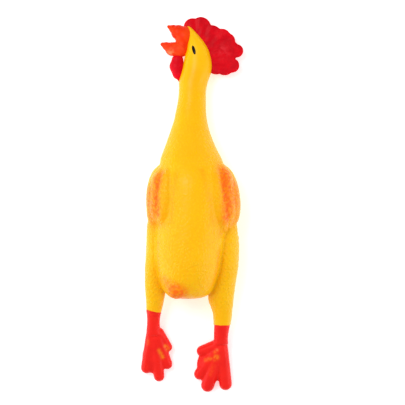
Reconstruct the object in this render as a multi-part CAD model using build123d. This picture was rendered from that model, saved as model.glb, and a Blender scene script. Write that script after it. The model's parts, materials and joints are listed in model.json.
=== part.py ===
from build123d import *
import math
import os

# A hollow rubber chicken, lying on its back: +Y towards the head, +Z up through the belly,
# the origin at the middle of the flat moulded patch on its back. Sizes are in millimetres.
# The soft skin is one casting. It is cut here into rigid pieces at the lines where it bends,
# and each cut is a ball of skin inside a socket of skin, so that the tube stays closed.

# --- driving sizes ---------------------------------------------------------------------
SKIN_WALL = 2.0
FLEX_GAP = 0.35          # between the ball of one skin piece and the socket of the next
RING_DEPTH = 3.0         # solid ring that carries each ball
RIM_LEAN = 4.0           # degrees added at each rim for the tilt of one length against the next
TORSO_HALF_WIDTH = 38.5
TORSO_HALF_DEPTH = 38.0
BACK_SINK = 1.5          # how far the round back would reach below its flat patch
HEAD_HALF_DEPTH = 15.0
WING_LENGTH = 62.0
WING_HALF_WIDTH = 10.0
WING_HALF_DEPTH = 20.0
COMB_THICKNESS = 5.6
COMB_GROOVE_GAP = 0.3
PANEL_HALF_WIDTH = 22.0
PANEL_HALF_LENGTH = 34.0
PANEL_GAP = 0.4
SQUEAKER_RADIUS = 10.0
SQUEAKER_LENGTH = 15.0
SQUEAKER_WALL = 1.4
COLLAR_WALL = 2.2
REED_LENGTH = 8.0
REED_WIDTH = 4.0
REED_THICKNESS = 0.4

# --- places of the bending lines -------------------------------------------------------
NECK_LIFT = {"at": (-3.3, 104.0, 22.0), "radius": 21.0, "turn": 30.0}
NECK_SWAY = {"at": (-2.2, 129.0, 18.5), "radius": 16.8, "turn": 40.0}
HEAD_NOD = {"at": (-0.4, 152.0, 16.0), "radius": 15.6, "turn": 35.0}

RIGHT_HIP = {"at": (-42.8, -86.0, 20.0), "radius": 9.2, "turn": 40.0}
RIGHT_KNEE = {"at": (-43.8, -103.0, 17.0), "radius": 7.8, "turn": 25.0}
RIGHT_ANKLE = {"at": (-44.4, -118.5, 14.0), "radius": 7.4, "turn": 35.0}

LEFT_HIP = {"at": (33.0, -93.0, 20.0), "radius": 11.0, "turn": 40.0}
LEFT_KNEE = {"at": (32.4, -112.0, 17.0), "radius": 9.2, "turn": 25.0}
LEFT_ANKLE = {"at": (31.4, -129.5, 14.0), "radius": 8.2, "turn": 35.0}

JAW_PIVOT = (-9.0, 197.0, HEAD_HALF_DEPTH)
JAW_KNUCKLE = 7.2
TORSO_MIDDLE_Z = TORSO_HALF_DEPTH - BACK_SINK
SQUEAKER_AT = (-5.0, -81.0, 32.0)    # middle of the outlet face
PANEL_AT = (-3.0, 0.0)
REACH = 600.0                        # larger than the whole chicken


# --- shared shapes ---------------------------------------------------------------------
def oval(x, y, z, half_width, half_depth):
    """An oval section across the Y axis."""
    plane = Plane(origin=(x, y, z), x_dir=(1, 0, 0), z_dir=(0, 1, 0))
    return plane * scale(Circle(1), by=(half_width, half_depth, 1))


def tube(stations, inset=0.0):
    """A soft form lofted through (x, y, z, half width, half depth) stations."""
    sections = [oval(x, y, z, width - inset, depth - inset) for x, y, z, width, depth in stations]
    return loft(sections)


def ellipsoid(center, half_sizes, seam_turn=0.0):
    """An ellipsoid whose seam is turned about Z, to keep it away from a cut."""
    return Pos(*center) * Rot(0, 0, seam_turn) * scale(Sphere(1), by=half_sizes)


def above_z(z):
    return Pos(0, 0, z + REACH / 2) * Box(REACH, REACH, REACH)


def as_solid(shape):
    """The largest solid of a result, as one clean solid."""
    return max(shape.solids(), key=lambda solid: solid.volume)


def frame_along(start, end):
    """A plane at start whose Y axis points to end, and the distance between them."""
    offset = Vector(*end) - Vector(*start)
    along = offset.normalized()
    side = along.cross(Vector(0, 0, 1)).normalized()
    return Plane(origin=Vector(*start), x_dir=side, z_dir=side.cross(along)), offset.length


def spun(profile, start, end):
    """A flat profile, x outwards and y along, spun about the line from start to end."""
    return frame_along(start, end)[0] * revolve(profile, Axis.Y, 360)


def quad(r0, y0, r1, y1):
    """The half section of a cone from radius r0 at y0 to radius r1 at y1."""
    return make_face(Polyline((0, y0), (r0, y0), (r1, y1), (0, y1), (0, y0)))


def half_disc(radius, y_low, y_high):
    """The part of a disc about the pivot on the outer side of the axis, between two heights."""
    width = 2 * radius
    window = Pos(width / 2, (y_low + y_high) / 2) * Rectangle(width, y_high - y_low)
    return Circle(radius) & window


def capsule(start, start_radius, end, end_radius):
    """A round-ended taper between two points."""
    plane, length = frame_along(start, end)
    lean = (start_radius - end_radius) / length
    rise = math.sqrt(1 - lean * lean)
    first = (start_radius * rise, start_radius * lean)
    last = (end_radius * rise, length + end_radius * lean)
    low = math.radians(-45)
    outline = [
        ThreePointArc((0, -start_radius), (start_radius * math.cos(low), start_radius * math.sin(low)), first),
        Line(first, last),
        ThreePointArc(last, (end_radius * math.sin(-low), length + end_radius * math.cos(low)),
                      (0, length + end_radius)),
        Line((0, length + end_radius), (0, -start_radius)),
    ]
    return plane * revolve(make_face(outline), Axis.Y, 360)


# --- flex joints ------------------------------------------------------------------------
def rim_setback(joint):
    """Distance of each rim from the pivot, so that the rims just miss at full turn."""
    lean = math.radians(joint["turn"] / 2 + RIM_LEAN)
    return joint["radius"] * math.tan(lean)


def ball_radius(joint):
    """The ball passes through the mouth of the socket with the flex gap to spare."""
    return math.hypot(joint["radius"] - SKIN_WALL, rim_setback(joint)) - FLEX_GAP


def ball_profile(joint):
    """Half section of the ball, the ring that carries it and the air hole through its crown."""
    radius = ball_radius(joint)
    setback = rim_setback(joint)
    ring = quad(joint["radius"] - SKIN_WALL / 2, setback, joint["radius"] - SKIN_WALL / 2, setback + RING_DEPTH)
    profile = half_disc(radius, -radius, setback + RING_DEPTH / 2) + ring
    profile = profile - Circle(radius - SKIN_WALL)
    return profile - Pos(0, -radius) * Rectangle(0.8 * radius, radius)


def link(start, end):
    """A short length of hollow skin between two joints, with the ball of its start joint."""
    plane, length = frame_along(start["at"], end["at"])
    low = rim_setback(start)
    high = length - rim_setback(end)
    outer = quad(start["radius"], low, end["radius"], high)
    inner = quad(start["radius"] - SKIN_WALL, low, end["radius"] - SKIN_WALL, high)
    profile = (outer - inner) + ball_profile(start)
    return as_solid(spun(profile, start["at"], end["at"]))


def rim_station(joint, towards):
    """A round station at the joint's rim; towards is +1 for its head side, -1 for its foot side."""
    x, y, z = joint["at"]
    return (x, y + towards * rim_setback(joint), z, joint["radius"], joint["radius"])


# --- torso and head forms ----------------------------------------------------------------
TORSO = [
    (-5.0, SQUEAKER_AT[1], 32.0, 17.0, 15.0),
    (-5.3, -75.0, 33.5, 24.5, 25.0),
    (-5.5, -62.0, 35.0, 30.5, 32.5),
    (-4.8, -44.0, TORSO_MIDDLE_Z, TORSO_HALF_WIDTH - 3, TORSO_HALF_DEPTH - 1),
    (-4.0, -24.0, TORSO_MIDDLE_Z, TORSO_HALF_WIDTH, TORSO_HALF_DEPTH),
    (-2.0, 5.0, TORSO_MIDDLE_Z, TORSO_HALF_WIDTH, TORSO_HALF_DEPTH),
    (-0.5, 35.0, TORSO_MIDDLE_Z, TORSO_HALF_WIDTH, TORSO_HALF_DEPTH - 0.5),
    (-1.0, 62.0, 34.5, TORSO_HALF_WIDTH - 3, TORSO_HALF_DEPTH - 4),
    (-2.4, 82.0, 28.5, 29.5, 27.8),
    rim_station(NECK_LIFT, -1),
]
HEAD = [
    rim_station(HEAD_NOD, 1),
    (2.6, 172.0, HEAD_HALF_DEPTH, 17.4, HEAD_HALF_DEPTH),
    (4.6, 187.0, HEAD_HALF_DEPTH, 15.6, HEAD_HALF_DEPTH - 0.5),
    (3.4, 201.0, HEAD_HALF_DEPTH, 10.0, HEAD_HALF_DEPTH - 3),
    (-1.0, 213.0, HEAD_HALF_DEPTH, 5.4, 7.5),
    (-4.5, 220.5, HEAD_HALF_DEPTH, 2.6, 3.4),
]


def closed_inner(stations, closed_end):
    """The hollow of a form: the same stations less the wall, short of the closed end."""
    moved = [list(station) for station in stations]
    step = SKIN_WALL if closed_end == 0 else -SKIN_WALL
    moved[closed_end][1] += step
    return tube(moved, SKIN_WALL)


TORSO_OUTER = tube(TORSO) & above_z(0)
TORSO_INNER = closed_inner(TORSO, 0) & above_z(SKIN_WALL)
HEAD_OUTER = tube(HEAD)
HEAD_INNER = closed_inner(HEAD[:-1], -1)


def wing(side):
    """A folded wing lobe lying against the torso, side +1 for the chicken's left."""
    middle = (side * (TORSO_HALF_WIDTH + 4.0) + 0.5, 36.0, TORSO_MIDDLE_Z + 1)
    half_sizes = (WING_HALF_WIDTH, WING_LENGTH / 2, WING_HALF_DEPTH)
    seam_turn = 0 if side > 0 else 180
    outside = ellipsoid(middle, half_sizes, seam_turn)
    inside = ellipsoid(middle, tuple(size - SKIN_WALL for size in half_sizes), seam_turn)
    return as_solid((outside - TORSO_OUTER) - inside)


# --- legs -------------------------------------------------------------------------------
RIGHT_THIGH = [
    (-TORSO_HALF_WIDTH - 1.5, -2.0, 30.0, 6.0, 8.0),
    (-TORSO_HALF_WIDTH - 2.5, -18.0, 29.5, 9.5, 15.0),
    (-TORSO_HALF_WIDTH - 3.0, -45.0, 27.0, 11.5, 17.0),
    (-42.2, -70.0, 23.0, 10.6, 12.5),
    rim_station(RIGHT_HIP, 1),
]
LEFT_THIGH = [
    (TORSO_HALF_WIDTH - 1.5, -2.0, 30.0, 6.0, 8.0),
    (TORSO_HALF_WIDTH, -18.0, 29.5, 11.5, 15.5),
    (TORSO_HALF_WIDTH - 0.5, -45.0, 27.5, 14.0, 18.0),
    (35.0, -74.0, 23.5, 13.6, 15.0),
    rim_station(LEFT_HIP, 1),
]
# each foot: palm and toe ends as (x, y, radius)
RIGHT_PALM = (-44.5, -147.0, 11.5)
RIGHT_TOES = [(-52.0, -161.0, 6.6), (-38.0, -170.0, 6.6), (-30.0, -157.0, 5.8), (-28.0, -139.5, 5.2)]
LEFT_PALM = (28.0, -155.0, 12.5)
LEFT_TOES = [(36.0, -179.5, 7.4), (15.5, -180.5, 7.2), (7.5, -166.0, 6.2), (10.0, -144.0, 5.4)]
PALM_DEPTH = 8.0         # half thickness of the palm
TOE_ROOT_RADIUS = 5.6
PALM_STRETCH = 1.3       # length of the palm over its width
SHANK_INSET = 1.2        # the shank ends this much inside the palm's faces
TOE_LIFT = 0.4           # keeps the toes just off the table


def thigh(stations):
    return as_solid(tube(stations) - TORSO_OUTER - tube(stations[1:], SKIN_WALL))


def foot(ankle, palm, toes):
    """The foot hangs on the ankle's ball: a shank, a flattened palm and solid round toes."""
    x, y, radius = palm
    middle = (x, y, PALM_DEPTH)
    length = frame_along(ankle["at"], middle)[1]
    low = rim_setback(ankle)
    form = spun(quad(ankle["radius"], low, PALM_DEPTH - SHANK_INSET, length), ankle["at"], middle)
    hind_toe_x = toes[-1][0]
    form = form + ellipsoid(middle, (radius, radius * PALM_STRETCH, PALM_DEPTH), 180 if hind_toe_x > x else 0)
    for toe_x, toe_y, toe_radius in toes:
        form = form + capsule(middle, TOE_ROOT_RADIUS, (toe_x, toe_y, toe_radius + TOE_LIFT), toe_radius)
    bore = ankle["radius"] - SKIN_WALL
    form = form - spun(quad(bore, low, bore, length), ankle["at"], middle)
    return as_solid(form + spun(ball_profile(ankle), ankle["at"], middle))


def leg_pieces(stations, hip, knee, ankle, palm, toes):
    """Thigh, upper leg, lower leg and foot, from the torso outwards."""
    return thigh(stations), link(hip, knee), link(knee, ankle), foot(ankle, palm, toes)


# --- squeaker in the rump ---------------------------------------------------------------
def rod(radius, y_outlet, length):
    """A cylinder on the squeaker's axis, from y_outlet inwards."""
    x, y, z = SQUEAKER_AT
    return Pos(x, y_outlet + length / 2, z) * Rot(90, 0, 0) * Cylinder(radius, length)


OUTLET_Y = SQUEAKER_AT[1]
CAP_THICKNESS = 1.6
PLATE_THICKNESS = 2.4
CUP_BORE = SQUEAKER_RADIUS - SQUEAKER_WALL
PLATE_Y = OUTLET_Y + SQUEAKER_LENGTH - PLATE_THICKNESS
SLOT_WIDTH = REED_WIDTH - 1.2
REED_PIVOT_Z = SQUEAKER_AT[2] + REED_LENGTH / 2
REED_GAP = 0.3
AIR_HOLE_RADIUS = 1.2
AIR_HOLE_COUNT = 6
AIR_HOLE_RING = 0.6 * CUP_BORE
SLOT_DROP = 1.0          # the slot sits below the middle, clear of the clamp
CLAMP_DEPTH = 1.6
CLAMP_HEIGHT = 2.0
CLAMP_MARGIN = 1.0       # the clamp is this much wider than the reed on each side


def squeaker_cup():
    return rod(SQUEAKER_RADIUS, OUTLET_Y, SQUEAKER_LENGTH) - rod(CUP_BORE, OUTLET_Y, SQUEAKER_LENGTH)


def squeaker_grille():
    """The outlet cap with a ring of small air holes and one in the middle."""
    x, y, z = SQUEAKER_AT
    cap = rod(CUP_BORE, OUTLET_Y, CAP_THICKNESS)
    hole = Rot(90, 0, 0) * Cylinder(AIR_HOLE_RADIUS, 6 * CAP_THICKNESS)
    cap = cap - Pos(x, y, z) * hole
    for k in range(AIR_HOLE_COUNT):
        turn = 2 * math.pi * k / AIR_HOLE_COUNT
        spot = Pos(x + AIR_HOLE_RING * math.cos(turn), y, z + AIR_HOLE_RING * math.sin(turn))
        cap = cap - spot * hole
    return cap


def reed_plate():
    """The disc that holds the reed, with the air slot that the reed covers and the clamp block."""
    x, y, z = SQUEAKER_AT
    plate = rod(CUP_BORE, PLATE_Y, PLATE_THICKNESS)
    slot_length = REED_LENGTH - 3 * SLOT_DROP
    slot_middle = Pos(x, PLATE_Y + PLATE_THICKNESS / 2, z - SLOT_DROP)
    slot = slot_middle * Box(SLOT_WIDTH, 3 * PLATE_THICKNESS, slot_length)
    clamp_z = REED_PIVOT_Z + REED_GAP + CLAMP_HEIGHT / 2
    clamp_middle = Pos(x, PLATE_Y - CLAMP_DEPTH / 2, clamp_z)
    clamp = clamp_middle * Box(REED_WIDTH + 2 * CLAMP_MARGIN, CLAMP_DEPTH, CLAMP_HEIGHT)
    return plate - slot + clamp


def reed():
    x, y, z = SQUEAKER_AT
    middle_y = PLATE_Y - REED_GAP - REED_THICKNESS / 2
    return Pos(x, middle_y, REED_PIVOT_Z - REED_LENGTH / 2) * Box(REED_WIDTH, REED_THICKNESS, REED_LENGTH)


# --- torso ------------------------------------------------------------------------------
def panel_cutter(grow):
    x, y = PANEL_AT
    outline = scale(Circle(1), by=(PANEL_HALF_WIDTH + grow, PANEL_HALF_LENGTH + grow, 1))
    return Pos(x, y, TORSO_MIDDLE_Z) * extrude(outline, REACH / 4)


def torso_pieces():
    shell = TORSO_OUTER - TORSO_INNER
    collar = rod(SQUEAKER_RADIUS + COLLAR_WALL, OUTLET_Y, SQUEAKER_LENGTH)
    shell = shell + collar - rod(SQUEAKER_RADIUS, OUTLET_Y - 5, SQUEAKER_LENGTH + 5)
    panel = as_solid(shell & panel_cutter(0))
    skin = as_solid(shell - panel_cutter(PANEL_GAP))
    return skin, panel


NUB_AT = (-16.5, -72.0, 47.0)
NUB_HALF_SIZES = (13.0, 8.0, 15.0)


def tail_nub():
    bump = ellipsoid(NUB_AT, NUB_HALF_SIZES)
    return as_solid(bump - TORSO_OUTER)


# --- head -------------------------------------------------------------------------------
def beak_cone(stations):
    """A beak half, lofted through (x, y, half width, half depth, lean in degrees) stations."""
    sections = []
    for x, y, width, depth, lean in stations:
        across = Plane(
            origin=(x, y, HEAD_HALF_DEPTH),
            x_dir=(-math.sin(math.radians(lean)), math.cos(math.radians(lean)), 0),
            z_dir=(math.cos(math.radians(lean)), math.sin(math.radians(lean)), 0),
        )
        sections.append(across * scale(Circle(1), by=(width, depth, 1)))
    return loft(sections)


UPPER_BEAK = [
    (0.0, 205.0, 9.4, 9.0, 135),
    (-8.5, 213.0, 9.0, 8.0, 143),
    (-18.0, 218.0, 6.2, 5.6, 147),
    (-26.0, 222.2, 1.8, 1.8, 155),
]
LOWER_BEAK = [
    (-9.0, 197.0, 6.8, 6.6, 176),
    (-18.0, 197.4, 6.0, 5.8, 174),
    (-27.0, 199.0, 4.2, 4.2, 168),
    (-34.0, 201.4, 1.6, 1.6, 165),
]
COMB_LOBES = [
    (2.5, 221.5, 9.2),
    (9.5, 222.0, 9.2),
    (24.5, 212.5, 9.6),
    (36.0, 208.5, 10.2),
    (47.0, 195.0, 8.6),
    (41.5, 178.5, 10.6),
    (27.0, 178.0, 10.4),
]
COMB_LINE = ((3.3, 230.6), (36.8, 164.0))     # the line that the blade flops about
COMB_WEB = [(-5, 221), (10, 226), (36, 212), (48, 196), (42, 178), (20, 170), (14, 186), (-5, 221)]
# the wattle: its root, its hanging tip and the lobe beside it, as (x, y, z) and a radius
WATTLE_ROOT = (-18.0, 184.5, 0.0)
WATTLE_ROOT_RADIUS = 5.6
WATTLE_ENDS = [((-15.0, 166.5, 0.0), 5.4), ((-10.0, 180.0, 0.0), 6.0)]
WATTLE_FLATTENING = 0.7
EYE_AT = (0.8, 194.2)
EYE_RISE = 12.5          # from the middle of the head to the middle of the dash
EYE_LEAN = 22.0
EYE_HALF_SIZES = (2.0, 5.4, 2.6)


def head_pieces():
    upper_form = beak_cone(UPPER_BEAK)
    lower_form = beak_cone(LOWER_BEAK)
    knuckle = Pos(*JAW_PIVOT) * Sphere(JAW_KNUCKLE)
    knuckle_socket = Pos(*JAW_PIVOT) * Sphere(JAW_KNUCKLE + FLEX_GAP)
    skin = HEAD_OUTER - HEAD_INNER
    skin = skin + spun(ball_profile(HEAD_NOD), HEAD_NOD["at"], (HEAD_NOD["at"][0], HEAD[1][1], HEAD_NOD["at"][2]))
    skin = as_solid(skin - knuckle_socket)
    upper = as_solid(upper_form - HEAD_OUTER - knuckle_socket)
    lower = as_solid(lower_form + knuckle)
    return skin, upper, lower


def wattle():
    (tip, tip_radius), (side, side_radius) = WATTLE_ENDS
    lobe = capsule(WATTLE_ROOT, WATTLE_ROOT_RADIUS, tip, tip_radius)
    lobe = lobe + capsule(WATTLE_ROOT, WATTLE_ROOT_RADIUS, side, side_radius)
    lobe = Pos(0, 0, HEAD_HALF_DEPTH) * scale(lobe, by=(1, 1, WATTLE_FLATTENING))
    return as_solid(lobe - HEAD_OUTER - Pos(*JAW_PIVOT) * Sphere(JAW_KNUCKLE + FLEX_GAP))


def eye(side):
    """A raised painted dash on the side of the head, side +1 for the upper, left one."""
    x, y = EYE_AT
    dash = Rot(0, 0, EYE_LEAN) * scale(Sphere(1), by=EYE_HALF_SIZES)
    dash = Pos(x, y, HEAD_HALF_DEPTH + side * EYE_RISE) * dash
    return as_solid(dash - HEAD_OUTER)


def comb_pieces(upper_beak):
    (x0, y0), (x1, y1) = COMB_LINE
    turn = math.degrees(math.atan2(y1 - y0, x1 - x0))
    length = math.hypot(x1 - x0, y1 - y0)
    line = Plane(
        origin=((x0 + x1) / 2, (y0 + y1) / 2, HEAD_HALF_DEPTH),
        x_dir=(math.cos(math.radians(turn)), math.sin(math.radians(turn)), 0),
        z_dir=(0, 0, 1),
    )
    web = make_face(Polyline(*COMB_WEB))
    plate = Pos(0, 0, -COMB_THICKNESS / 2) * extrude(web, COMB_THICKNESS)
    for x, y, radius in COMB_LOBES:
        plate = plate + Pos(x, y, 0) * Cylinder(radius, COMB_THICKNESS)
    plate = Pos(0, 0, HEAD_HALF_DEPTH) * plate
    half = COMB_THICKNESS / 2
    outside = line * Pos(0, REACH / 2, 0) * Box(REACH, REACH, REACH)
    inside = line * Pos(0, -REACH / 2, 0) * Box(REACH, REACH, REACH)
    bead = line * Rot(0, 90, 0) * Cylinder(half, length)
    groove = line * Rot(0, 90, 0) * Cylinder(half + COMB_GROOVE_GAP, REACH)
    blade = (plate & outside) + (bead & plate)
    root = (plate & inside) - groove - HEAD_OUTER
    return as_solid(blade), as_solid(root - upper_beak)


# --- write every piece ------------------------------------------------------------------
def main():
    torso_skin, belly_panel = torso_pieces()
    head_skin, upper_beak, lower_beak = head_pieces()
    comb_blade, comb_root = comb_pieces(upper_beak)
    neck_base = link(NECK_LIFT, NECK_SWAY)
    neck_top = link(NECK_SWAY, HEAD_NOD)
    right_leg = leg_pieces(RIGHT_THIGH, RIGHT_HIP, RIGHT_KNEE, RIGHT_ANKLE, RIGHT_PALM, RIGHT_TOES)
    left_leg = leg_pieces(LEFT_THIGH, LEFT_HIP, LEFT_KNEE, LEFT_ANKLE, LEFT_PALM, LEFT_TOES)
    pieces = {
        "torso_skin": torso_skin,
        "belly_panel": belly_panel,
        "left_wing": wing(1),
        "right_wing": wing(-1),
        "tail_nub": tail_nub(),
        "neck_base": neck_base,
        "neck_top": neck_top,
        "head_skin": head_skin,
        "upper_beak": upper_beak,
        "lower_beak": lower_beak,
        "wattle": wattle(),
        "left_eye": eye(1),
        "right_eye": eye(-1),
        "comb_root": comb_root,
        "comb_blade": comb_blade,
        "squeaker_cup": squeaker_cup(),
        "squeaker_grille": squeaker_grille(),
        "reed_plate": reed_plate(),
        "reed": reed(),
    }
    for side, leg in (("right", right_leg), ("left", left_leg)):
        for name, piece in zip(("thigh", "leg_upper", "leg_lower", "foot"), leg):
            pieces[f"{side}_{name}"] = piece
    os.makedirs("parts", exist_ok=True)
    for name, piece in pieces.items():
        export_step(piece, f"parts/{name}.step")
        print(f"{name:16} {piece.volume / 1000:8.2f} cm3")


main()
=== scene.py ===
# %% [markdown]
# # A soft rubber chicken, built around a fixed frame
# The frame holds the rigid lengths that the joints move. This lesson gives them one continuous soft skin, a comb,
# a beak, a wattle and painted eyes. It starts by loading the frame.

# %% Load the frame
import json
import math
import bmesh
import bpy
import numpy as np
from mathutils import Matrix, Vector, noise
from mathutils.bvhtree import BVHTree


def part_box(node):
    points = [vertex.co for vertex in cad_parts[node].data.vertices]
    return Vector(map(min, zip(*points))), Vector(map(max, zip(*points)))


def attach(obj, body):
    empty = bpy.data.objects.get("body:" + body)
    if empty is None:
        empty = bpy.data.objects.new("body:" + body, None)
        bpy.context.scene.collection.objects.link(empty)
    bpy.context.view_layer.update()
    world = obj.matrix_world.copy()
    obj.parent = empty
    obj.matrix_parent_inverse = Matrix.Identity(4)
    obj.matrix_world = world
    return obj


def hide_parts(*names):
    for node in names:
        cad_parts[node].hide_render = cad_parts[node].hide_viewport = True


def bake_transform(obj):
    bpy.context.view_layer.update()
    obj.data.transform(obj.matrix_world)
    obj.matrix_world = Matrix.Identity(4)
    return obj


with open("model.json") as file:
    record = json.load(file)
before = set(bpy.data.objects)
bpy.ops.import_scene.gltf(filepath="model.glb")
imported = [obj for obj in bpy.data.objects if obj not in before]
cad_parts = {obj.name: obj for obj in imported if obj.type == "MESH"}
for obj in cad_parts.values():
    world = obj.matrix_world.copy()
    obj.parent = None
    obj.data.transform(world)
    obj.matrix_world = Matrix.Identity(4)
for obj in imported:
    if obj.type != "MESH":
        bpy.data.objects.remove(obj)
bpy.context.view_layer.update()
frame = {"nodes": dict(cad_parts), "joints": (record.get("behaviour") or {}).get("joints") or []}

# %% [markdown]
# Every size below is in millimetres, because that is how such a toy is measured, and MM turns it into metres.
# The frame's joints are read, and the place where each one bends is printed.

# %% Units and bending places
MM = 0.001
joint_at = {joint["name"]: Vector(joint["pos_m"]) for joint in frame["joints"] if "pos_m" in joint}
rump_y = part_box("squeaker_cup")[0].y / MM
for name in sorted(joint_at):
    print(f"{name:18} bends at y = {joint_at[name].y / MM:7.1f} mm")


# %% [markdown]
# ## Camera, light and floor
# The toy lies on its back and the camera hangs straight above it, far away behind a long lens, so that near and far
# parts keep their true proportions. The light is a white dome with one large soft panel, because glossy rubber shows
# its shape by the pale edge that a white room leaves along it.

# %% Camera
FRAME_WIDTH = 451 * MM
LENS = 100.0
SENSOR = 36.0
AIM = Vector((10.6, 25.0, 25.0)) * MM
camera_data = bpy.data.cameras.new("camera")
camera_data.lens = LENS
camera_data.sensor_width = SENSOR
camera = bpy.data.objects.new("camera", camera_data)
camera.location = AIM + Vector((0, 0, FRAME_WIDTH * LENS / SENSOR))
bpy.context.scene.collection.objects.link(camera)
bpy.context.scene.camera = camera
print("camera height", round(camera.location.z, 3), "m")

# %% World and lights
scene = bpy.context.scene
scene.view_settings.view_transform = "Standard"
world = bpy.data.worlds.new("white_room")
world.use_nodes = True
world.node_tree.nodes["Background"].inputs["Color"].default_value = (1.0, 1.0, 1.0, 1.0)
world.node_tree.nodes["Background"].inputs["Strength"].default_value = 0.58
scene.world = world


def soft_panel(name, place, aim, size, power):
    """A square area light at a place, facing a point."""
    light = bpy.data.lights.new(name, "AREA")
    light.shape = "SQUARE"
    light.size = size
    light.energy = power
    lamp = bpy.data.objects.new(name, light)
    lamp.location = place
    lamp.rotation_euler = (Vector(aim) - Vector(place)).to_track_quat("-Z", "Y").to_euler()
    scene.collection.objects.link(lamp)
    return lamp


soft_panel("key_panel", (-0.45, 0.4, 1.05), AIM, 0.5, 5.0)
soft_panel("right_panel", (0.85, -0.1, 0.35), AIM, 0.6, 2.6)
soft_panel("left_panel", (-0.85, -0.1, 0.3), AIM, 0.6, 2.2)

# %% Floor
floor_mesh = bpy.data.meshes.new("floor")
bm = bmesh.new()
bmesh.ops.create_grid(bm, x_segments=1, y_segments=1, size=3.0, matrix=Matrix.Translation((0, 0, -0.3 * MM)))
bm.to_mesh(floor_mesh)
bm.free()
floor = bpy.data.objects.new("floor", floor_mesh)
scene.collection.objects.link(floor)
print("floor laid at z =", round(floor_mesh.vertices[0].co.z, 5))

# %% [markdown]
# ## Building blocks for a soft form
# A soft toy has no edges, so it is modelled like clay: rounded lobes are pushed together and fused. A lobe is a ring
# that is extruded from station to station. The stations are few, and a smooth curve through them gives the rings.


# %% Lobes, fingers and pads
def smooth_run(stations, pieces):
    """Points on a smooth curve through the stations: every value runs as a Catmull-Rom curve."""
    rows = np.array([stations[0]] + list(stations) + [stations[-1]], float)
    run = []
    for k in range(1, len(rows) - 2):
        a, b, c, d = rows[k - 1], rows[k], rows[k + 1], rows[k + 2]
        for step in range(pieces):
            t = step / pieces
            bend_term = (2 * a - 5 * b + 4 * c - d) * t ** 2
            twist_term = (3 * b - 3 * c + d - a) * t ** 3
            run.append(0.5 * (2 * b + (c - a) * t + bend_term + twist_term))
    run.append(rows[-2])
    return run


def ring_matrix(x, y, z, width, depth):
    """Lays a unit circle across the Y axis as an oval, in metres."""
    stretch = Matrix.Diagonal((width * MM, depth * MM, 1, 1))
    return Matrix.Translation(Vector((x, y, z)) * MM) @ Matrix.Rotation(math.pi / 2, 4, "X") @ stretch


def add_lobe(bm, stations, pieces=4, segments=48):
    """A closed lobe through (x, y, z, half width, half depth) stations in millimetres."""
    run = smooth_run(stations, pieces)
    before = ring_matrix(*run[0])
    start = bmesh.ops.create_circle(bm, cap_ends=False, radius=1.0, segments=segments, matrix=before)
    edges = list({edge for vert in start["verts"] for edge in vert.link_edges})
    bmesh.ops.holes_fill(bm, edges=edges)
    for station in run[1:]:
        after = ring_matrix(*station)
        grown = bmesh.ops.extrude_edge_only(bm, edges=edges)
        verts = [item for item in grown["geom"] if isinstance(item, bmesh.types.BMVert)]
        edges = [item for item in grown["geom"] if isinstance(item, bmesh.types.BMEdge)]
        bmesh.ops.transform(bm, matrix=after @ before.inverted(), verts=verts)
        before = after
    bmesh.ops.contextual_create(bm, geom=edges)


def add_finger(bm, start, start_radius, end, end_radius, flat=1.0, middle=0.0):
    """A round-ended taper between two points, flattened in Z about a height."""
    a = Vector(start) * MM
    b = Vector(end) * MM
    turn = (b - a).to_track_quat("Z", "Y").to_matrix().to_4x4()
    height = Matrix.Translation((0, 0, middle * MM))
    flatten = height @ Matrix.Diagonal((1, 1, flat, 1)) @ height.inverted()
    place = flatten @ Matrix.Translation((a + b) / 2) @ turn
    bmesh.ops.create_cone(bm, cap_ends=True, segments=32, radius1=start_radius * MM, radius2=end_radius * MM,
                          depth=(b - a).length, matrix=place)
    for point, radius in ((a, start_radius), (b, end_radius)):
        bmesh.ops.create_uvsphere(bm, u_segments=32, v_segments=16, radius=radius * MM,
                                  matrix=flatten @ Matrix.Translation(point))


def add_pad(bm, center, half_sizes, lean=0.0):
    """A rounded pad, leaning about Z by some degrees."""
    place = Matrix.Translation(Vector(center) * MM) @ Matrix.Rotation(math.radians(lean), 4, "Z")
    place = place @ Matrix.Diagonal((*(size * MM for size in half_sizes), 1))
    bmesh.ops.create_uvsphere(bm, u_segments=40, v_segments=20, radius=1.0, matrix=place)


def fuse(bm, name, voxel, smoothing):
    """Fuses overlapping closed forms into one skin and softens the joints between them."""
    bmesh.ops.recalc_face_normals(bm, faces=bm.faces)
    mesh = bpy.data.meshes.new(name)
    bm.to_mesh(mesh)
    bm.free()
    clay = bpy.data.objects.new(name + "_clay", mesh)
    scene.collection.objects.link(clay)
    remesh = clay.modifiers.new("remesh", "REMESH")
    remesh.mode = "VOXEL"
    remesh.voxel_size = voxel * MM
    soften = clay.modifiers.new("soften", "SMOOTH")
    soften.factor = 0.5
    soften.iterations = smoothing
    skin = bpy.data.meshes.new_from_object(clay.evaluated_get(bpy.context.evaluated_depsgraph_get()))
    bpy.data.objects.remove(clay)
    skin.name = name
    print(f"{name}: {len(skin.vertices)} vertices after fusing")
    return skin


print("building blocks ready")

# %% [markdown]
# ## The body
# The trunk runs from the rump to the crown of the head in one lobe. The folded wings are two lobes a side: a deep
# outer one at the flank and a flatter inner one over the breast. Each leg is a lobe that starts beside the belly,
# and the crease between leg and belly comes from fusing them.

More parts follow.
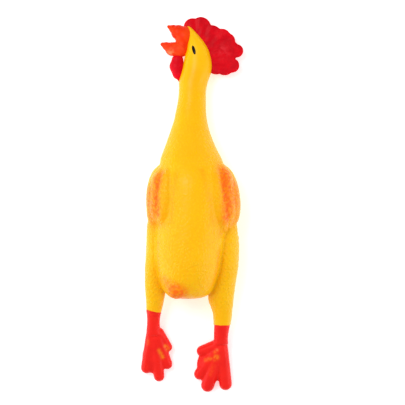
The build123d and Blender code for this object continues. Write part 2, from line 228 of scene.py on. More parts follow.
# %% Trunk and wings
TRUNK = [
    (-5.6, rump_y + 0.6, 33.0, 13, 12), (-5.6, rump_y + 2.5, 33.5, 20, 20), (-5.6, -73, 35.0, 26, 27.5),
    (-5.6, -62, 36.0, 30.5, 33.5), (-5.0, -48, 36.5, 34.5, 37), (-4.4, -28, 36.5, 37.6, 38),
    (-2.5, -5, 36.5, 38.3, 38), (-1.0, 20, 36.5, 37.6, 38), (-0.4, 45, 36.2, 36.8, 37.4),
    (-0.8, 62, 34.0, 35.4, 34.5),
    (-1.8, 72, 31.0, 34.4, 31.4), (-2.8, 83, 28.0, 29.8, 28), (-3.2, 94.5, 24.8, 25.4, 24.4),
    (-3.3, 106, 22.0, 21.4, 21.2), (-2.8, 117, 20.0, 18.5, 18.6), (-2.3, 128, 18.4, 16.8, 17),
    (-1.2, 139, 17.4, 15.7, 16),
    (-0.6, 150, 16.6, 15.3, 15.6), (0.4, 160, 16.0, 16.2, 16), (3.2, 169, 15.6, 16.8, 15.8),
    (4.8, 177, 15.2, 16.4, 15.6),
    (5.2, 184, 15.0, 15.6, 15.4), (5.2, 190, 15.0, 14.2, 15), (4.9, 197, 15.0, 12.2, 14.4),
    (2.9, 205, 15.0, 9.4, 12.6),
    (-0.6, 213, 15.0, 6.4, 9.6), (-4.2, 220.0, 15.0, 3.4, 6.4), (-6.0, 223.0, 15.0, 1.4, 2.6),
]
RIGHT_WING = [
    [(-33, 68, 28, 3, 5), (-36.8, 60, 29, 7.6, 13), (-40.4, 48, 30, 9.0, 18), (-41.9, 33, 30, 9.8, 20),
     (-41.6, 17, 30, 9.8, 18.5), (-40, 5, 31, 9.4, 15), (-36, -4, 33, 5, 8)],
    [(-29, 68, 36, 4, 6), (-35.0, 54, 43, 9.0, 13), (-37.0, 34, 44, 9.6, 15.0), (-37.0, 14, 44, 9.6, 14.0),
     (-34, 0, 40, 6, 9)],
    [(-24, 66, 50, 3, 4), (-26.5, 56, 52, 8, 10.5), (-28.4, 40, 53.2, 9.8, 12.8), (-29.4, 22, 53.2, 10, 13),
     (-30, 7, 52, 8.8, 11.5), (-31, -3, 49, 4, 6)],
]
LEFT_WING = [
    [(31, 68, 28, 3, 5), (35.4, 60, 29, 7.6, 13), (39.4, 48, 30, 9.2, 18), (42.0, 33, 30, 10.0, 20),
     (42.4, 17, 30, 10.2, 18.5), (40.6, 5, 31, 9.6, 15), (38, -5, 33, 5.5, 8)],
    [(27, 70, 36, 4, 6), (33.0, 56, 43, 9.4, 13), (35.6, 34, 44, 9.8, 15.0), (37.0, 14, 44, 9.8, 14.0),
     (36, -3, 40, 6, 9)],
    [(18, 68, 50, 3, 4), (20.5, 57, 53, 9.5, 10.5), (23.4, 40, 53.6, 10.4, 12.8), (26.4, 22, 53.2, 10.4, 13),
     (30, 5, 51, 8.8, 11.5), (33, -7, 47, 4, 6)],
]
body = bmesh.new()
add_lobe(body, TRUNK)
for wing in RIGHT_WING + LEFT_WING:
    add_lobe(body, wing)
add_pad(body, (-17.0, -69.0, 52.0), (12.5, 11.0, 15.5))
print("trunk and wings:", len(body.faces), "faces")

# %% Legs
RIGHT_LEG = [
    (-37, 20, 28, 6, 10), (-40.4, 4, 28, 9.8, 15), (-41.4, -12, 28, 10.0, 16.5),
    (-42.0, -30, 27, 10.2, 16.8), (-42.8, -48, 26, 10.6, 16),
    (-42.4, -64, 24, 11.2, 13.5), (-42.0, -75, 22.4, 11.2, 12), (-42.6, -86, 20.4, 9.9, 10.6),
    (-43.6, -95, 18.4, 8.8, 9.2),
    (-44.2, -103, 16.8, 7.5, 8), (-44.5, -111, 15, 7.2, 7.4), (-44.4, -118, 13.6, 8.0, 7.4),
    (-43.6, -124, 12.2, 9.2, 7.6),
]
LEFT_LEG = [
    (36, 18, 28, 7, 10), (37.4, 3, 28, 10.8, 15), (37.8, -12, 28, 12.2, 16.5),
    (37.9, -30, 27.5, 12.9, 17.5), (36.6, -48, 26.5, 13.2, 17),
    (33.6, -64, 25, 13.8, 15.5), (31.4, -76, 23.4, 14.4, 14.2), (31.2, -86, 21.8, 13.6, 13),
    (32.6, -95, 20, 11.0, 11.4),
    (33.0, -103, 18.4, 9.9, 10.2), (32.5, -112, 16.8, 9.0, 9.2), (31.7, -120, 15.2, 8.4, 8.4),
    (31.2, -128, 13.8, 8.0, 8),
    (30.8, -134, 12.4, 9.0, 8),
]
# toes: where each leaves the instep, its radius there, its tip and the radius of the tip
RIGHT_TOES = [
    ((-46.0, -124, 11), 7.2, (-52.4, -161.5, 7.0), 6.6), ((-43.5, -128, 11), 7.4, (-38.4, -171.2, 7.0), 6.1),
    ((-40.0, -128, 11), 7.0, (-29.2, -157.5, 7.0), 5.9), ((-39.0, -122, 11), 6.6, (-28.8, -138.2, 7.6), 5.4),
]
LEFT_TOES = [
    ((32.0, -138, 11), 7.4, (36.6, -179.8, 7.0), 7.3), ((28.5, -142, 11), 8.2, (16.4, -181.4, 7.0), 7.6),
    ((26.5, -142, 11), 7.2, (7.6, -168.6, 7.0), 6.7), ((27.0, -136, 11), 7.2, (10.0, -142.6, 7.6), 6.2),
]
add_lobe(body, RIGHT_LEG)
add_lobe(body, LEFT_LEG)
for start, start_radius, end, end_radius in RIGHT_TOES + LEFT_TOES:
    add_finger(body, start, start_radius, end, end_radius)
# a thinner web fills the roots of the toes, so the foot is a mitten with creases
add_pad(body, (-44.5, -148.5, 7.4), (13.0, 19.5, 6.8), -6)
add_pad(body, (21.5, -158.5, 7.4), (17.5, 19.0, 6.8), 6)
print("with the legs and toes:", len(body.faces), "faces")

# %% Fuse the body
SKIN_VOXEL = 1.0
skin_mesh = fuse(body, "skin", SKIN_VOXEL, 6)


def flatten_back(mesh):
    """The moulded back has a flat patch, so nothing reaches below the resting plane."""
    places = np.zeros(len(mesh.vertices) * 3, np.float32)
    mesh.vertices.foreach_get("co", places)
    places = places.reshape(-1, 3)
    places[:, 2] = np.maximum(places[:, 2], 0)
    mesh.vertices.foreach_set("co", places.ravel())
    mesh.update()
    return places


# pimples in millimetres: their spacing across and along the body, their height, and where on the body they fade
PIMPLE_SPACING = (2.9, 3.4, 2.9)
PIMPLE_HEIGHT = 0.36
SMOOTH_HEAD_FROM = 176
SMOOTH_FEET_FROM = -116
RIDGE_HEIGHT = 0.7
RIDGE_HALF_WIDTH = 0.9


def pluck(mesh):
    """Raises the plucked pimples, and the mould's parting ridge along the outside of the left leg."""
    heights = []
    for vertex in mesh.vertices:
        point = vertex.co / MM
        cell = Vector([value / spacing for value, spacing in zip(point, PIMPLE_SPACING)])
        nearest = noise.voronoi(cell)[0][0]
        dome = max(0.0, 1 - nearest / 0.62)
        fade = min(1.0, max(0.0, (SMOOTH_HEAD_FROM - point.y) / 30))
        fade *= min(1.0, max(0.05, (point.y - SMOOTH_FEET_FROM) / 24))
        middle = min(1.0, abs(point.x + 3) / 32)
        lower = min(1.0, max(0.0, (6 - point.y) / 50))
        lift = PIMPLE_HEIGHT * dome * fade * (0.35 + 0.65 * max(middle ** 1.5, 0.8 * lower))
        if point.x > 20 and -112 < point.y < -12:
            off_ridge = (point.z - 30 - 0.12 * point.y) / RIDGE_HALF_WIDTH
            lift += RIDGE_HEIGHT * math.exp(-off_ridge ** 2)
        heights.append(lift * MM)
    moves = [vertex.normal * height for vertex, height in zip(mesh.vertices, heights)]
    for vertex, move in zip(mesh.vertices, moves):
        vertex.co += move
    mesh.update()


pluck(skin_mesh)
skin_points = flatten_back(skin_mesh)
print("skin from", skin_points.min(0).round(4), "to", skin_points.max(0).round(4))

# %% [markdown]
# ## Cutting the skin where it bends
# The skin must follow several joints, and a mesh can bend over one joint only, so it is cut across the limbs into
# lengths. A cut would show as a line in the shine, so each vertex first remembers the smooth normal of the whole
# skin, and every length is shaded with those. The cut ends are closed, and meet inside where nobody sees them.

# %% Remember the smooth normals
smooth_layer = skin_mesh.attributes.new("smooth_normal", "FLOAT_VECTOR", "POINT")
normals = np.zeros(len(skin_mesh.vertices) * 3, np.float32)
skin_mesh.vertices.foreach_get("normal", normals)
smooth_layer.data.foreach_set("vector", normals)
skin_corners = [vertex.co.copy() for vertex in skin_mesh.vertices]
skin_tree = BVHTree.FromPolygons(skin_corners, [tuple(polygon.vertices) for polygon in skin_mesh.polygons])


def cut_length(name, cuts):
    """The part of the skin on the positive side of every (point, direction) cut, closed at its ends."""
    bm = bmesh.new()
    bm.from_mesh(skin_mesh)
    caps = []
    for point, direction in cuts:
        geometry = list(bm.verts) + list(bm.edges) + list(bm.faces)
        cut = bmesh.ops.bisect_plane(bm, geom=geometry, dist=1e-7, plane_co=Vector(point) * MM, plane_no=direction,
                                     clear_inner=True)
        rim = [item for item in cut["geom_cut"] if isinstance(item, bmesh.types.BMEdge) and item.is_boundary]
        caps += bmesh.ops.holes_fill(bm, edges=rim)["faces"]
    for face in bm.faces:
        face.smooth = True
    cap_flag = bm.faces.layers.int.new("cap")
    for face in caps:
        if face.is_valid:
            face[cap_flag] = 1
    bmesh.ops.triangulate(bm, faces=[face for face in bm.faces if face[cap_flag] == 1])
    mesh = bpy.data.meshes.new(name)
    bm.to_mesh(mesh)
    bm.free()
    shade_as_whole(mesh)
    piece = bpy.data.objects.new(name, mesh)
    scene.collection.objects.link(piece)
    print(f"{name}: {len(mesh.polygons)} faces")
    return piece


def shade_as_whole(mesh):
    """Sets each corner's normal to the whole skin's, except on the closing caps."""
    remembered = np.zeros(len(mesh.vertices) * 3, np.float32)
    mesh.attributes["smooth_normal"].data.foreach_get("vector", remembered)
    remembered = remembered.reshape(-1, 3)
    remembered /= np.maximum(np.linalg.norm(remembered, axis=1, keepdims=True), 1e-6)
    corner_vertex = np.zeros(len(mesh.loops), np.int32)
    mesh.loops.foreach_get("vertex_index", corner_vertex)
    corner_normals = remembered[corner_vertex]
    flags = np.zeros(len(mesh.polygons), np.int32)
    mesh.attributes["cap"].data.foreach_get("value", flags)
    for index in np.nonzero(flags)[0]:
        polygon = mesh.polygons[int(index)]
        corner_normals[polygon.loop_start:polygon.loop_start + polygon.loop_total] = polygon.normal
    mesh.normals_split_custom_set(corner_normals.tolist())


# %% Where the lengths begin and end
UP = (0, 1, 0)
DOWN = (0, -1, 0)
neck_cuts = [93.5, 116.5, 141.5, 163.0]
leg_root = rump_y - 1.5
right_cuts = [leg_root, -94.5, -110.8, -126.0]
left_cuts = [leg_root, -102.5, -120.8, -137.0]
belly_cut = 50.0
middle_x = -5.0


def across(y):
    return (0, y, 0)


lengths = {}
trunk_cuts = [(across(leg_root), UP), (across(neck_cuts[0]), DOWN)]
lengths["torso"] = cut_length("skin_torso", trunk_cuts + [((0, 0, belly_cut), (0, 0, -1))])
lengths["belly"] = cut_length("skin_belly", trunk_cuts + [((0, 0, belly_cut), (0, 0, 1))])
for name, low, high in zip(("low", "middle", "top"), neck_cuts, neck_cuts[1:]):
    lengths[f"neck_{name}"] = cut_length(f"skin_neck_{name}", [(across(low), UP), (across(high), DOWN)])
lengths["head"] = cut_length("skin_head", [(across(neck_cuts[-1]), UP)])
for side, cuts, inward in (("right", right_cuts, (-1, 0, 0)), ("left", left_cuts, (1, 0, 0))):
    side_cut = ((middle_x, 0, 0), inward)
    for name, high, low in zip(("hip", "knee", "ankle"), cuts, cuts[1:]):
        ends = [(across(low), UP), (across(high), DOWN), side_cut]
        lengths[f"{side}_{name}"] = cut_length(f"skin_{side}_{name}", ends)
    lengths[f"{side}_foot"] = cut_length(f"skin_{side}_foot", [(across(cuts[-1]), DOWN), side_cut])

# %% [markdown]
# ## Paint and painted shade maps
# An orange blush is sprayed on the wings and the rump, and orange painted shade darkens the creases of the wings, the
# belly and the thighs and the outer flanks; the plucked pimples are deep at the flanks and fade out on the head and the
# feet. Each is a soft stroke from point to point, stored on the skin as an attribute that the finish reads. The resting
# place is stored too, so the pattern stays put when the skin bends.


# %% Strokes on the skin
def stroke(points, start, end, radius):
    """1 on the line from start to end, falling off softly over the radius, all in millimetres."""
    a = np.array(start, float)
    along = np.array(end, float) - a
    share = np.clip(((points - a) @ along) / max(along @ along, 1e-9), 0, 1)
    gap = np.linalg.norm(points - (a + share[:, None] * along), axis=1)
    return np.exp(-(gap / radius) ** 2)


# Orange strokes, each a start, an end, a radius in millimetres and a strength: sprayed blush on the wings and the rump,
# and painted shade in the creases of the wings, belly and thighs and along the flanks.
BLUSH_AND_PAINTED_SHADE = [
    ((-36.5, 56, 57), (-37.5, 14, 59), 7.5, 0.85), ((34.5, 62, 57), (36.5, 8, 59), 8.0, 1.0),
    ((-49, 36, 44), (-48, 6, 44), 10.0, 0.62), ((49, 42, 42), (48, 6, 42), 10.0, 0.5),
    ((-42, 46, 50), (-44, 18, 50), 10.0, 0.32), ((40, 62, 48), (43, 24, 50), 11.0, 0.4),
    ((-28, 1, 60), (-42, 2, 50), 5.0, 0.28), ((30, -9, 58), (44, 0, 48), 5.0, 0.32),
    ((-21, -68, 65), (-13, -71, 65), 8.0, 0.95), ((-18, -77, 56), (-14, -79, 48), 9.0, 0.95),
    ((-30, -60, 58), (-25, -74, 48), 6.0, 0.45), ((-18, 58, 68), (-23, 4, 66), 3.6, 0.2), ((10, 60, 68),
    (22, 2, 66), 3.6, 0.2),
    ((-35, -20, 52), (-34, -60, 47), 4.4, 0.5), ((30, -30, 55), (24, -66, 50), 4.6, 0.36),
    ((2, 170, 31), (0, 152, 31), 7.0, 0.12),
]
WORN = [
    ((-31, -136, 15), (-28.5, -140, 13), 2.0, 0.7), ((-38, -141, 17), (-34, -149, 14), 2.0, 0.6),
    ((26.2, -148, 17), (24.6, -150, 15), 2.6, 1.0), ((26.5, -141, 18), (25, -143, 17), 1.8, 0.7),
    ((23, -158, 15), (20, -168, 13.5), 2.0, 0.45), ((14, -152, 14), (20, -150, 16), 2.0, 0.4),
    ((-50, -130, 15), (-50, -133, 15), 1.8, 0.35),
]


def paint_maps(piece):
    """Stores blush and painted shade, pimple and worn strength and the resting place on a piece of skin."""
    mesh = piece.data
    places = np.zeros(len(mesh.vertices) * 3, np.float32)
    mesh.vertices.foreach_get("co", places)
    points = places.reshape(-1, 3) / MM
    blush_and_painted_shade = sum(share * stroke(points, a, b, radius) for a, b, radius, share in BLUSH_AND_PAINTED_SHADE)
    worn = sum(share * stroke(points, a, b, radius) for a, b, radius, share in WORN)
    off_middle = np.clip(np.abs(points[:, 0] + 3) / 34, 0, 1)
    lower_belly = np.clip((8 - points[:, 1]) / 50, 0, 1)
    pimple = 0.30 + 0.7 * np.maximum(off_middle ** 1.5, 0.75 * lower_belly)
    pimple *= np.clip((172 - points[:, 1]) / 26, 0.0, 1)
    pimple *= np.clip((points[:, 1] + 112) / 26, 0.12, 1)
    for name, values in (("blush_and_painted_shade", blush_and_painted_shade), ("worn", worn), ("pimple", pimple)):
        layer = mesh.attributes.new(name, "FLOAT", "POINT")
        layer.data.foreach_set("value", np.clip(values, 0, 1).astype(np.float32))
    rest = mesh.attributes.new("rest_position", "FLOAT_VECTOR", "POINT")
    rest.data.foreach_set("vector", places)


for piece in lengths.values():
    paint_maps(piece)
print("paint maps on", len(lengths), "lengths of skin")

# %% [markdown]
# ## Finishes
# Each finish is a small graph of nodes. Helpers keep the graphs readable: one makes a node and sets its values, one
# links. Colours are given as on a screen and turned into light values once.


# %% Node helpers
def light_value(red, green, blue):
    """A screen colour, 0 to 255, as linear light."""
    def one(value):
        share = value / 255
        return share / 12.92 if share <= 0.04045 else ((share + 0.055) / 1.055) ** 2.4
    return (one(red), one(green), one(blue), 1.0)


class Finish:
    """A material with its nodes, starting from one Principled shader."""

    def __init__(self, name, roughness, gloss=0.1):
        self.material = bpy.data.materials.new(name)
        self.material.use_nodes = True
        self.tree = self.material.node_tree
        self.shader = self.tree.nodes["Principled BSDF"]
        self.shader.inputs["Roughness"].default_value = roughness
        self.shader.inputs["Specular IOR Level"].default_value = gloss

    def node(self, kind, **settings):
        made = self.tree.nodes.new(kind)
        for key, value in settings.items():
            setattr(made, key, value)
        return made

    def link(self, output, socket):
        self.tree.links.new(output, socket)

    def place(self):
        return self.node("ShaderNodeAttribute", attribute_name="rest_position").outputs["Vector"]

    def strength(self, attribute):
        return self.node("ShaderNodeAttribute", attribute_name=attribute).outputs["Fac"]

    def object_place(self):
        return self.node("ShaderNodeTexCoord").outputs["Object"]

    def noise(self, place, scale, detail=3.0, roughness=0.55):
        made = self.node("ShaderNodeTexNoise")
        made.inputs["Scale"].default_value = scale
        made.inputs["Detail"].default_value = detail
        made.inputs["Roughness"].default_value = roughness
        self.link(place, made.inputs["Vector"])
        return made.outputs["Fac"]

    def ramp(self, source, low, high, low_value=0.0, high_value=1.0):
        made = self.node("ShaderNodeMapRange", interpolation_type="SMOOTHSTEP")
        for socket, value in zip(("From Min", "From Max", "To Min", "To Max"), (low, high, low_value, high_value)):
            made.inputs[socket].default_value = value
        self.link(source, made.inputs["Value"])
        return made.outputs["Result"]

    def math(self, operation, first, second):
        made = self.node("ShaderNodeMath", operation=operation)
        for socket, value in zip(made.inputs, (first, second)):
            if isinstance(value, (int, float)):
                socket.default_value = value
            else:
                self.link(value, socket)
        return made.outputs["Value"]

    def mix(self, factor, first, second):
        made = self.node("ShaderNodeMix", data_type="RGBA")
        self.link(factor, made.inputs["Factor"])
        for socket, value in ((made.inputs[6], first), (made.inputs[7], second)):
            if isinstance(value, tuple):
                socket.default_value = value
            else:
                self.link(value, socket)
        return made.outputs[2]

    def colour(self, output):
        self.link(output, self.shader.inputs["Base Color"])

    def bump(self, height, distance, strength=1.0):
        made = self.node("ShaderNodeBump")
        made.inputs["Distance"].default_value = distance * MM
        made.inputs["Strength"].default_value = strength
        self.link(height, made.inputs["Height"])
        self.link(made.outputs["Normal"], self.shader.inputs["Normal"])


YELLOW = light_value(255, 194, 0)
DEEP_YELLOW = light_value(255, 187, 0)
ORANGE = light_value(254, 112, 10)
FOOT_RED = light_value(250, 28, 24)
DARK_RED = light_value(232, 12, 20)
WORN_YELLOW = light_value(255, 150, 20)
print("yellow as light:", [round(value, 3) for value in YELLOW])

# %% [markdown]
# The skin is sunny yellow rubber. Voronoi cells, one every 2.6 mm, raise the plucked pimples. A long noise shifts
# the yellow a little, a short one adds specks, and the blush and painted shade map turns it orange. The hollows between
# the pimples are tinted orange too, as painted shade. The dipped feet start at a slanted line across each shin: the
# line's height changes a little with a noise, as wet paint does.


# %% Skin finish
PIMPLE_PITCH = 2.6


def skin_finish(name, paint_line=None, slant=0.0):
    """Yellow rubber; below the paint line, in millimetres along Y, it is dipped red."""
    finish = Finish(name, roughness=0.34, gloss=0.17)
    place = finish.place()
    pimples = finish.node("ShaderNodeTexVoronoi", feature="SMOOTH_F1")
    pimples.inputs["Scale"].default_value = 1 / (PIMPLE_PITCH * MM)
    pimples.inputs["Smoothness"].default_value = 0.6
    finish.link(place, pimples.inputs["Vector"])
    dome = finish.ramp(pimples.outputs["Distance"], 0.62, 0.05)
    wobble = finish.noise(place, 260.0, 2.0)
    uneven_dome = finish.math("ADD", dome, finish.math("MULTIPLY", wobble, 0.5))
    height = finish.math("MULTIPLY", uneven_dome, finish.strength("pimple"))
    grain = finish.math("MULTIPLY", finish.noise(place, 900.0, 2.0), 0.12)
    long_shift = finish.ramp(finish.noise(place, 28.0, 2.0), 0.35, 0.7)
    colour = finish.mix(finish.math("MULTIPLY", long_shift, 0.5), YELLOW, DEEP_YELLOW)
    speck = finish.ramp(finish.noise(place, 620.0, 1.0), 0.70, 0.78)
    colour = finish.mix(finish.math("MULTIPLY", speck, 0.35), colour, ORANGE)
    # Orange from the blush and painted shade map: sprayed blush on the wings and rump, painted shade in the creases and
    # flanks.
    mist = finish.ramp(finish.noise(place, 300.0, 4.0), 0.3, 0.7, 0.6, 1.2)
    colour = finish.mix(finish.math("MULTIPLY", finish.strength("blush_and_painted_shade"), mist), colour, ORANGE)
    if paint_line is not None:
        split = finish.node("ShaderNodeSeparateXYZ")
        finish.link(place, split.inputs["Vector"])
        edge = finish.math("ADD", split.outputs["Y"], finish.math("MULTIPLY", split.outputs["X"], slant))
        edge = finish.math("ADD", edge, finish.math("MULTIPLY", finish.noise(place, 150.0, 2.0), 1.2 * MM))
        dipped = finish.ramp(edge, paint_line * MM + 0.25 * MM, paint_line * MM - 0.25 * MM)
        patch = finish.ramp(finish.noise(place, 75.0, 3.0), 0.35, 0.72)
        red = finish.mix(finish.math("MULTIPLY", patch, 0.5), FOOT_RED, DARK_RED)
        rubbed = finish.ramp(finish.noise(place, 330.0, 4.0), 0.34, 0.6, 0.35, 1.2)
        red = finish.mix(finish.math("MULTIPLY", finish.strength("worn"), rubbed), red, WORN_YELLOW)
        colour = finish.mix(dipped, colour, red)
    # Painted shade: the hollows between the pimples are tinted orange, as warm shade there would look.
    shaded_hollows = finish.ramp(height, 0.4, 0.0)
    hollow_shade_share = finish.math("MULTIPLY", finish.strength("pimple"), 0.26)
    colour = finish.mix(finish.math("MULTIPLY", shaded_hollows, hollow_shade_share), colour, ORANGE)
    finish.colour(colour)
    finish.bump(finish.math("ADD", height, grain), 0.5)
    finish.link(finish.ramp(finish.noise(place, 120.0, 3.0), 0.3, 0.7, 0.27, 0.42), finish.shader.inputs["Roughness"])
    return finish.material


body_finish = skin_finish("yellow_rubber")
right_leg_finish = skin_finish("right_leg_rubber", paint_line=-105.2, slant=0.22)
left_leg_finish = skin_finish("left_leg_rubber", paint_line=-110.6, slant=0.02)
for name, piece in lengths.items():
    side = name.split("_")[0]
    chosen = {"right": right_leg_finish, "left": left_leg_finish}.get(side, body_finish)
    piece.data.materials.clear()
    piece.data.materials.append(chosen)
print("skin finishes:", body_finish.name, right_leg_finish.name, left_leg_finish.name)

# %% [markdown]
# ## Comb, beak, wattle and eyes
# These are separate pieces of colour on the toy. The comb is a fan of flat discs, fused and softened, with shallow
# folds that run out from the head. The beak halves and the wattle are short fingers pushed together.

# %% Comb
head_z = joint_at["jaw_squeeze"].z / MM
COMB_HALF = 2.7
COMB_DISCS = [
    (-0.4, 221.6, 10.2), (8.8, 222.0, 11.2), (21.6, 213.2, 10.6), (32.6, 210.4, 9.6), (38.6, 206.2, 8.8),
    (49.0, 195.2, 7.4),
    (42.0, 196.5, 10.0), (29.0, 192.0, 18.4), (44.0, 178.8, 8.0), (35.5, 177.6, 10.0), (26.0, 179.2, 10.6),
    (13.0, 209.0, 14.5), (20.0, 196.0, 14.0), (19.0, 184.0, 10.0), (3.0, 214.5, 8.5),
]
comb_clay = bmesh.new()
for x, y, radius in COMB_DISCS:
    bmesh.ops.create_cone(comb_clay, cap_ends=True, segments=48, radius1=radius * MM, radius2=radius * MM,
                          depth=2 * COMB_HALF * MM, matrix=Matrix.Translation(Vector((x, y, head_z)) * MM))
comb_mesh = fuse(comb_clay, "comb", 0.9, 5)


CROWN = (-2.0, 190.0)
COMB_REACH = 48
FOLD_HEIGHT = 0.38
RIPPLE_HEIGHT = 0.16


def fold_comb(mesh):
    """Shallow folds that run out from the crown, and a thinner, slightly wavy rim."""
    centre = Vector(CROWN) * MM
    for vertex in mesh.vertices:
        x, y = vertex.co.x - centre.x, vertex.co.y - centre.y
        angle = math.atan2(y, x)
        reach = math.hypot(x, y) / (COMB_REACH * MM)
        side = vertex.co.z - head_z * MM
        fold = math.sin(angle * 17 + 2.2 * math.sin(reach * 5)) * FOLD_HEIGHT * MM * min(1.0, reach * 1.4)
        fold += math.sin(angle * 31 + 4) * RIPPLE_HEIGHT * MM
        vertex.co.z = head_z * MM + side * (1.12 - 0.28 * reach) + fold
    mesh.update()


fold_comb(comb_mesh)
comb = bpy.data.objects.new("comb", comb_mesh)
scene.collection.objects.link(comb)

# %% Beak halves and wattle


def fused_piece(name, fingers, flat, voxel=0.6, smoothing=6):
    """A piece fused from fingers, flattened about the middle of the head."""
    clay = bmesh.new()
    for start, start_radius, end, end_radius in fingers:
        add_finger(clay, (*start, head_z), start_radius, (*end, head_z), end_radius, flat, head_z)
    mesh = fuse(clay, name, voxel, smoothing)
    piece = bpy.data.objects.new(name, mesh)
    scene.collection.objects.link(piece)
    return piece


UPPER_BEAK = [((-9.0, 211.6), 11.6, (-16.4, 216.0), 8.4), ((-16.4, 216.0), 8.4, (-22.2, 219.8), 4.8),
              ((-22.2, 219.8), 4.8, (-27.4, 222.4), 2.0), ((-11.0, 206.0), 8.6, (-12.4, 196.6), 8.0)]
LOWER_BEAK = [((-14.0, 196.8), 8.7, (-23.6, 197.2), 7.7), ((-23.6, 197.2), 7.7, (-30.0, 200.6), 4.7),
              ((-30.0, 200.6), 4.7, (-34.4, 202.5), 2.4)]
WATTLE = [((-17.4, 184.8), 6.6, (-18.2, 177.8), 8.4), ((-18.2, 177.8), 8.4, (-16.6, 169.6), 6.6),
          ((-16.0, 169.0), 6.0, (-14.4, 162.4), 2.6)]
upper_beak = fused_piece("upper_beak_skin", UPPER_BEAK, 0.86)
lower_beak = fused_piece("lower_beak_skin", LOWER_BEAK, 0.86)
wattle = fused_piece("wattle_skin", WATTLE, 0.72)

# %% Eyes


def painted_eye(name, up):
    """A thin painted dash that hugs the side of the head; up is +1 for the side that faces the sky."""
    clay = bmesh.new()
    add_pad(clay, (0.9, 194.3, 0), (1.75, 5.3, 1.0), 15)
    for vertex in clay.verts:
        dome = vertex.co.z
        above = Vector((vertex.co.x, vertex.co.y, head_z * MM + up * 0.1))
        hit = skin_tree.ray_cast(above, Vector((0, 0, -up)))[0]
        vertex.co.z = hit.z + 0.35 * dome
    bmesh.ops.recalc_face_normals(clay, faces=clay.faces)
    mesh = bpy.data.meshes.new(name)
    clay.to_mesh(mesh)
    clay.free()
    eye = bpy.data.objects.new(name, mesh)
    scene.collection.objects.link(eye)
    return eye


left_eye = painted_eye("left_eye_paint", 1)
right_eye = painted_eye("right_eye_paint", -1)
for piece in (comb, upper_beak, lower_beak, wattle, left_eye, right_eye):
    for polygon in piece.data.polygons:
        polygon.use_smooth = True
    rest = piece.data.attributes.new("rest_position", "FLOAT_VECTOR", "POINT")
    flat = np.zeros(len(piece.data.vertices) * 3, np.float32)
    piece.data.vertices.foreach_get("co", flat)
    rest.data.foreach_set("vector", flat)
    print(f"{piece.name}: {len(piece.data.polygons)} faces")


# %% [markdown]
# The red and orange paint is thinner than the rubber's own colour, so it is mottled: a soft noise moves between two
# shades, and a finer one leaves the brush and sponge marks. Black eye paint is glossier than the rest.

# %% Paint finishes
def mottled_finish(name, shade, deep, scale, roughness, bump, pale=None):
    """Mottled paint over soft rubber, with an optional paler rubbed patch: (colour, centre, radius)."""
    finish = Finish(name, roughness)
    place = finish.place()
    patches = finish.ramp(finish.noise(place, scale, 4.0, 0.65), 0.34, 0.66)
    colour = finish.mix(patches, shade, deep)
    if pale is not None:
        pale_colour, centre, radius = pale
        away = finish.node("ShaderNodeVectorMath", operation="DISTANCE")
        away.inputs[1].default_value = Vector(centre) * MM
        finish.link(place, away.inputs[0])
        near = finish.ramp(away.outputs["Value"], radius * MM, 0.0)
        dabs = finish.ramp(finish.noise(place, 210.0, 4.0), 0.40, 0.66)
        colour = finish.mix(finish.math("MULTIPLY", near, dabs), colour, pale_colour)
    finish.colour(colour)
    fine_pores = finish.math("MULTIPLY", finish.noise(place, 800.0, 2.0), 0.4)
    pores = finish.math("ADD", finish.noise(place, 240.0, 3.0), fine_pores)
    finish.bump(pores, bump)
    return finish.material


comb_red = mottled_finish("comb_red", light_value(228, 0, 22), light_value(200, 0, 20), 62.0, 0.4, 0.4,
                          (light_value(226, 36, 48), (33, 194, head_z + COMB_HALF), 14))
wattle_red = mottled_finish("wattle_red", light_value(236, 2, 34), light_value(216, 2, 26), 90.0, 0.4, 0.5)
upper_orange = mottled_finish("upper_beak_orange", light_value(248, 66, 6), light_value(242, 46, 4), 70.0, 0.4, 0.25)
lower_orange = mottled_finish("lower_beak_orange", light_value(250, 74, 22), light_value(246, 54, 12), 110.0, 0.42, 0.3,
                              (light_value(250, 140, 90), (-25, 192, head_z + 5), 8))
eye_black = mottled_finish("eye_black", light_value(24, 16, 14), light_value(10, 8, 8), 300.0, 0.25, 0.05)
for piece, finish in ((comb, comb_red), (wattle, wattle_red), (upper_beak, upper_orange), (lower_beak, lower_orange),
                      (left_eye, eye_black), (right_eye, eye_black)):
    piece.data.materials.clear()
    piece.data.materials.append(finish)
print("paints:", [m.name for m in (comb_red, wattle_red, upper_orange, lower_orange, eye_black)])

# %% [markdown]
# The squeaker stays as it is in the frame. Its cup and grille are milky moulded plastic with fine flow marks, and
# the reed is thin rolled brass with a grain along its length.


# %% Squeaker finishes
def part_finish(name, shade, deep, scale, roughness, stretch, metallic=0.0):
    """A finish for a frame piece, patterned on its own coordinates."""
    finish = Finish(name, roughness)
    finish.shader.inputs["Metallic"].default_value = metallic
    mapping = finish.node("ShaderNodeMapping")
    mapping.inputs["Scale"].default_value = stretch
    finish.link(finish.object_place(), mapping.inputs["Vector"])
    marks = finish.noise(mapping.outputs["Vector"], scale, 3.0)
    finish.colour(finish.mix(finish.ramp(marks, 0.3, 0.7), shade, deep))
    finish.bump(marks, 0.08)
    return finish.material


milky = part_finish("milky_plastic", light_value(238, 238, 232), light_value(222, 222, 214), 240.0, 0.35, (1, 1, 1))
brass = part_finish("rolled_brass", light_value(214, 174, 92), light_value(190, 148, 70), 400.0, 0.3, (6, 1, 0.4), 1.0)
for node, finish in (("squeaker_cup", milky), ("squeaker_grille", milky), ("reed_plate", milky), ("reed", brass)):
    frame["nodes"][node].data.materials.clear()
    frame["nodes"][node].data.materials.append(finish)
print("squeaker finishes:", milky.name, brass.name)

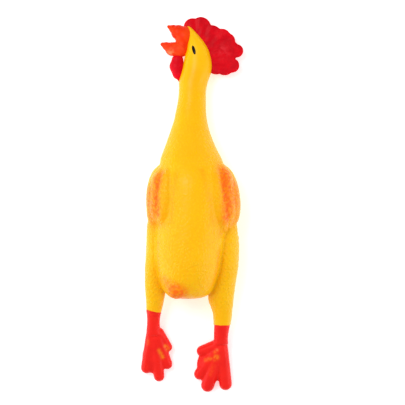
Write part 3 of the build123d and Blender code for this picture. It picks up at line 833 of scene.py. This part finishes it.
# %% Floor finish
paper = Finish("white_paper", 0.9)
clouds = paper.noise(paper.object_place(), 3.0, 2.0)
paper.colour(paper.mix(clouds, light_value(252, 252, 252), light_value(255, 255, 255)))
paper.shader.inputs["Emission Color"].default_value = (1.0, 1.0, 1.0, 1.0)
paper.shader.inputs["Emission Strength"].default_value = 0.4
floor.data.materials.append(paper.material)
print("floor finish:", paper.material.name)

# %% [markdown]
# ## Joining the skin to the frame
# The torso, the head and the feet are attached to the frame's bodies, and so are the upper beak, the wattle and the
# eyes. The other lengths, the belly, the comb and the lower beak only have their placement baked into the mesh.

# %% Attach the lengths
def bend(name):
    """Bakes a length's placement into its mesh."""
    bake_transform(lengths[name])


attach(lengths["torso"], "torso")
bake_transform(lengths["belly"])
bend("neck_low")
bend("neck_middle")
bend("neck_top")
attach(lengths["head"], "head")
for side, cuts in (("right", right_cuts), ("left", left_cuts)):
    chain = ["torso", f"{side}_shin", f"{side}_hock", f"{side}_paw"]
    for name, start_y, end_y, body_a, body_b in zip(("hip", "knee", "ankle"), cuts, cuts[1:], chain, chain[1:]):
        bend(f"{side}_{name}")
    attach(lengths[f"{side}_foot"], f"{side}_paw")
comb_joint = next(joint for joint in frame["joints"] if joint["name"] == "comb_flop")
comb_line = Vector(comb_joint["axis"]).normalized()
outwards = comb_line.cross(Vector((0, 0, 1)))
outwards = outwards if outwards.x > 0 else -outwards
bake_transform(comb)
for piece in (upper_beak, wattle, left_eye, right_eye):
    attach(piece, "head")
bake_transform(lower_beak)
print("comb bends outwards along", [round(value, 3) for value in outwards])

# %% Stand for the frame's plain pieces
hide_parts("torso_skin", "left_wing", "right_wing", "left_thigh", "right_thigh", "tail_nub")
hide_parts("belly_panel")
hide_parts("neck_base", "neck_top")
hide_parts("head_skin")
for side in ("right", "left"):
    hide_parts(f"{side}_leg_upper")
    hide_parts(f"{side}_leg_lower")
    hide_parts(f"{side}_foot")
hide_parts("upper_beak")
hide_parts("lower_beak")
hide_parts("wattle")
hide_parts("left_eye")
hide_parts("right_eye")
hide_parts("comb_root", "comb_blade")
print("pieces joined:", len(lengths) + 6)
